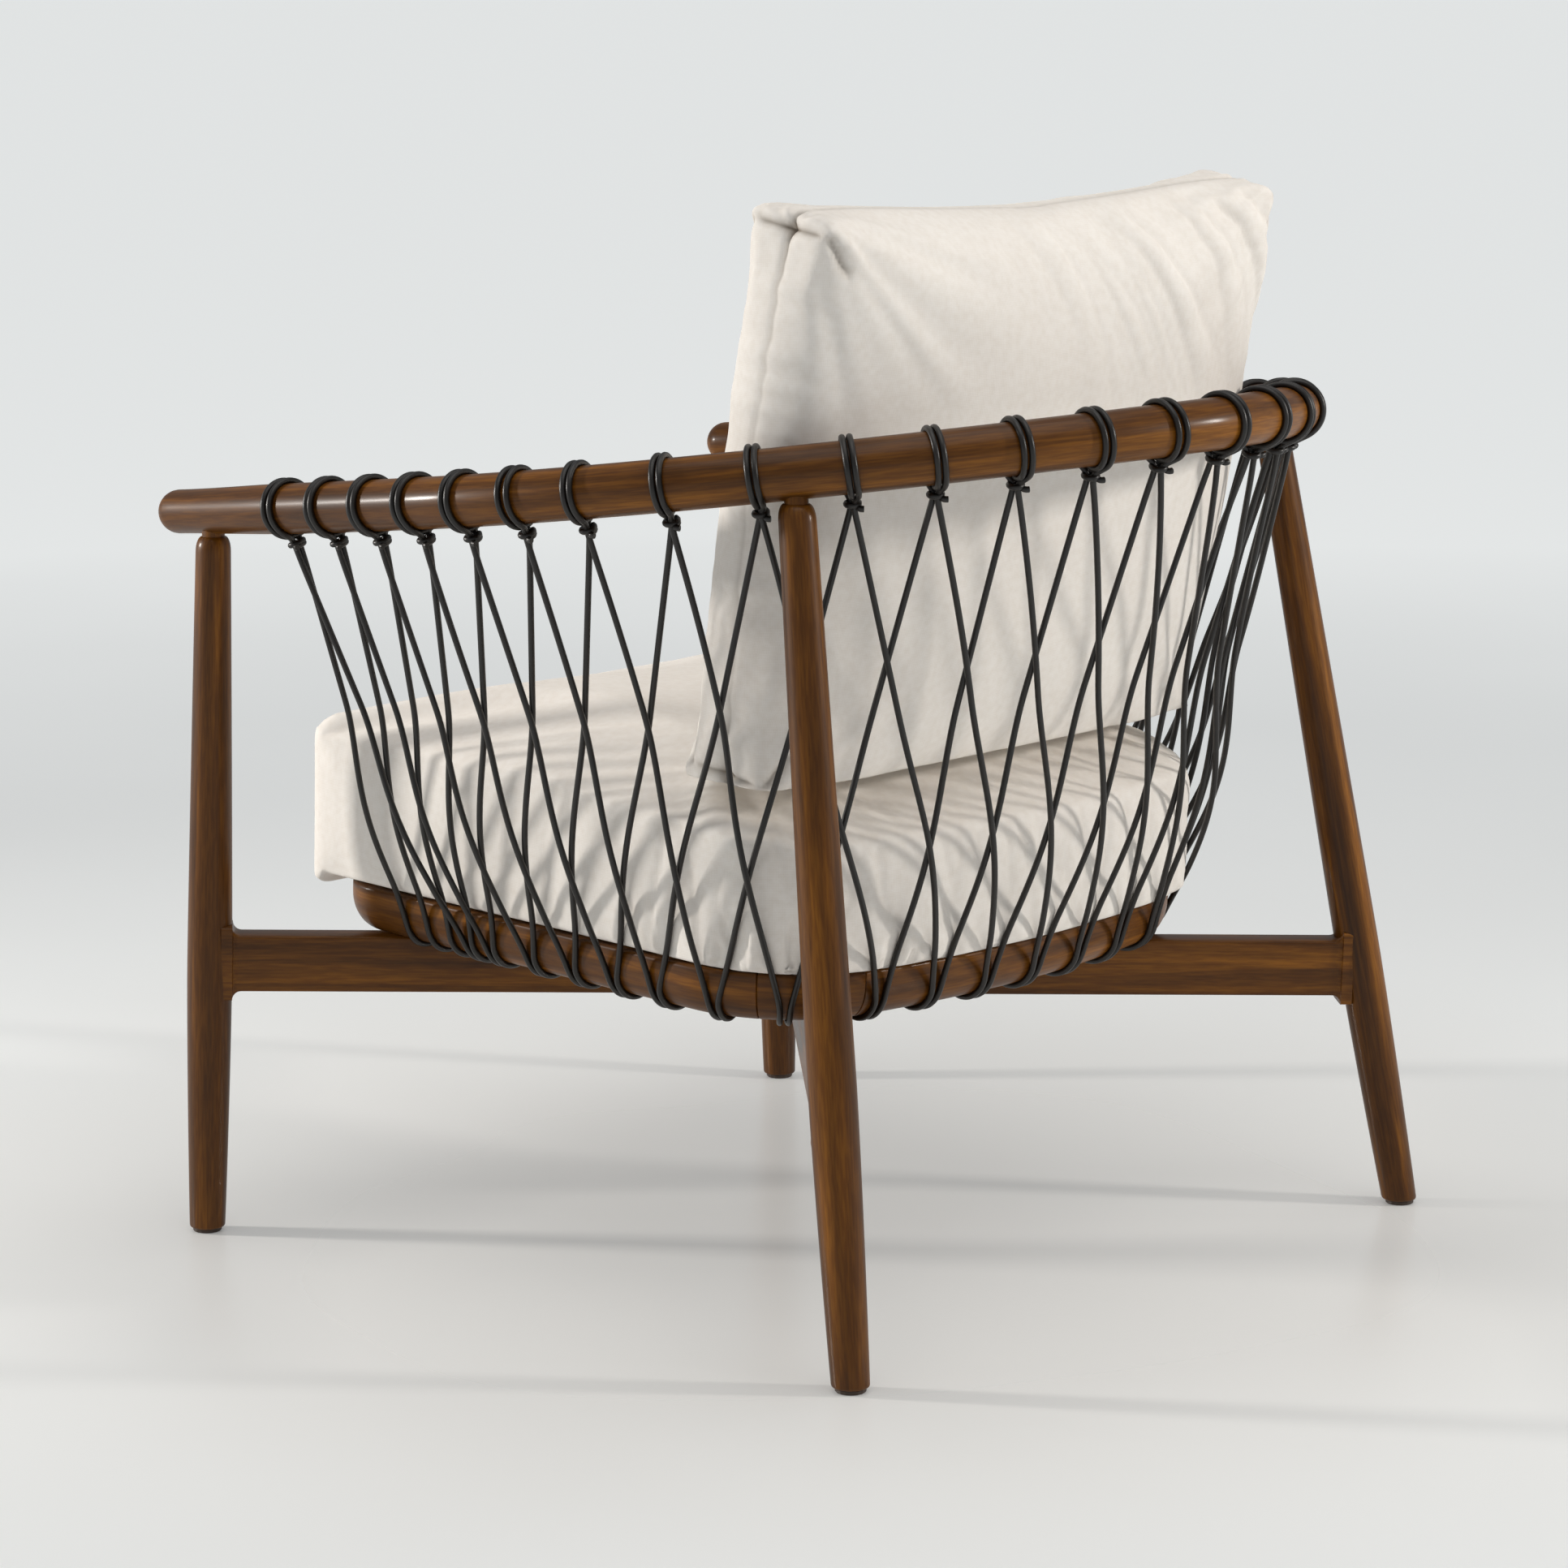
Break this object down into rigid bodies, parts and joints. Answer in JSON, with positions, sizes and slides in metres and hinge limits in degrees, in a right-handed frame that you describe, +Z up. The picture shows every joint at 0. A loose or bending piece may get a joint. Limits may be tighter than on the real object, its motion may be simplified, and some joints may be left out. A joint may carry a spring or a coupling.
{
  "type": "lounge armchair",
  "caption": "Round-railed wooden lounge armchair: splayed turned legs on crossed beams carry an open arm hoop laced by cord to a seat ring, with loose seat and back cushions.",
  "frame": {"origin": "on the floor, under the middle of the chair's overall width and depth", "axes": "+Z up, -Y the way the sitter faces, +X the sitter's left"},
  "size_m": [0.7905, 0.8194, 0.826],
  "materials": {
    "frame_wood": "warm brown clear lacquer, semi-gloss",
    "cord": "round black-brown leather cord, soft sheen",
    "canvas": "off-white cotton canvas, matt",
    "webbing": "woven elastic webbing, matt",
    "screw": "zinc plated",
    "glide": "dark brown nylon"
  },
  "bodies": {
    "root": {"arm_hoop": "frame_wood", "leg_back_left": "frame_wood", "leg_back_right": "frame_wood", "leg_front_left": "frame_wood", "leg_front_right": "frame_wood", "glide_back_left": "glide", "glide_back_right": "glide", "glide_front_left": "glide", "glide_front_right": "glide", "beam_front_left_to_back_right": "frame_wood", "beam_front_right_to_back_left": "frame_wood", "ring_back": "frame_wood", "ring_corner_left": "frame_wood", "ring_corner_right": "frame_wood", "ring_front": "frame_wood", "ring_side_left": "frame_wood", "ring_side_right": "frame_wood", "ring_screw_back_left": "screw", "ring_screw_back_right": "screw", "ring_screw_front_left": "screw", "ring_screw_front_right": "screw", "webbing_strap_1": "webbing", "webbing_strap_2": "webbing", "webbing_strap_3": "webbing", "webbing_strap_4": "webbing", "webbing_strap_5": "webbing", "lace_left_1": "cord", "lace_left_2": "cord", "lace_left_3": "cord", "lace_left_4": "cord", "lace_left_5": "cord", "lace_left_6": "cord", "lace_left_7": "cord", "lace_left_8": "cord", "lace_left_9": "cord", "lace_back_1": "cord", "lace_back_2": "cord", "lace_back_3": "cord", "lace_back_4": "cord", "lace_back_5": "cord", "lace_back_6": "cord", "lace_back_7": "cord", "lace_back_8": "cord", "lace_back_9": "cord", "lace_back_10": "cord", "lace_back_11": "cord", "lace_right_1": "cord", "lace_right_2": "cord", "lace_right_3": "cord", "lace_right_4": "cord", "lace_right_5": "cord", "lace_right_6": "cord", "lace_right_7": "cord", "lace_right_8": "cord", "lace_right_9": "cord", "seat_cushion": "canvas", "back_cushion": "canvas"}
  },
  "joints": []
}
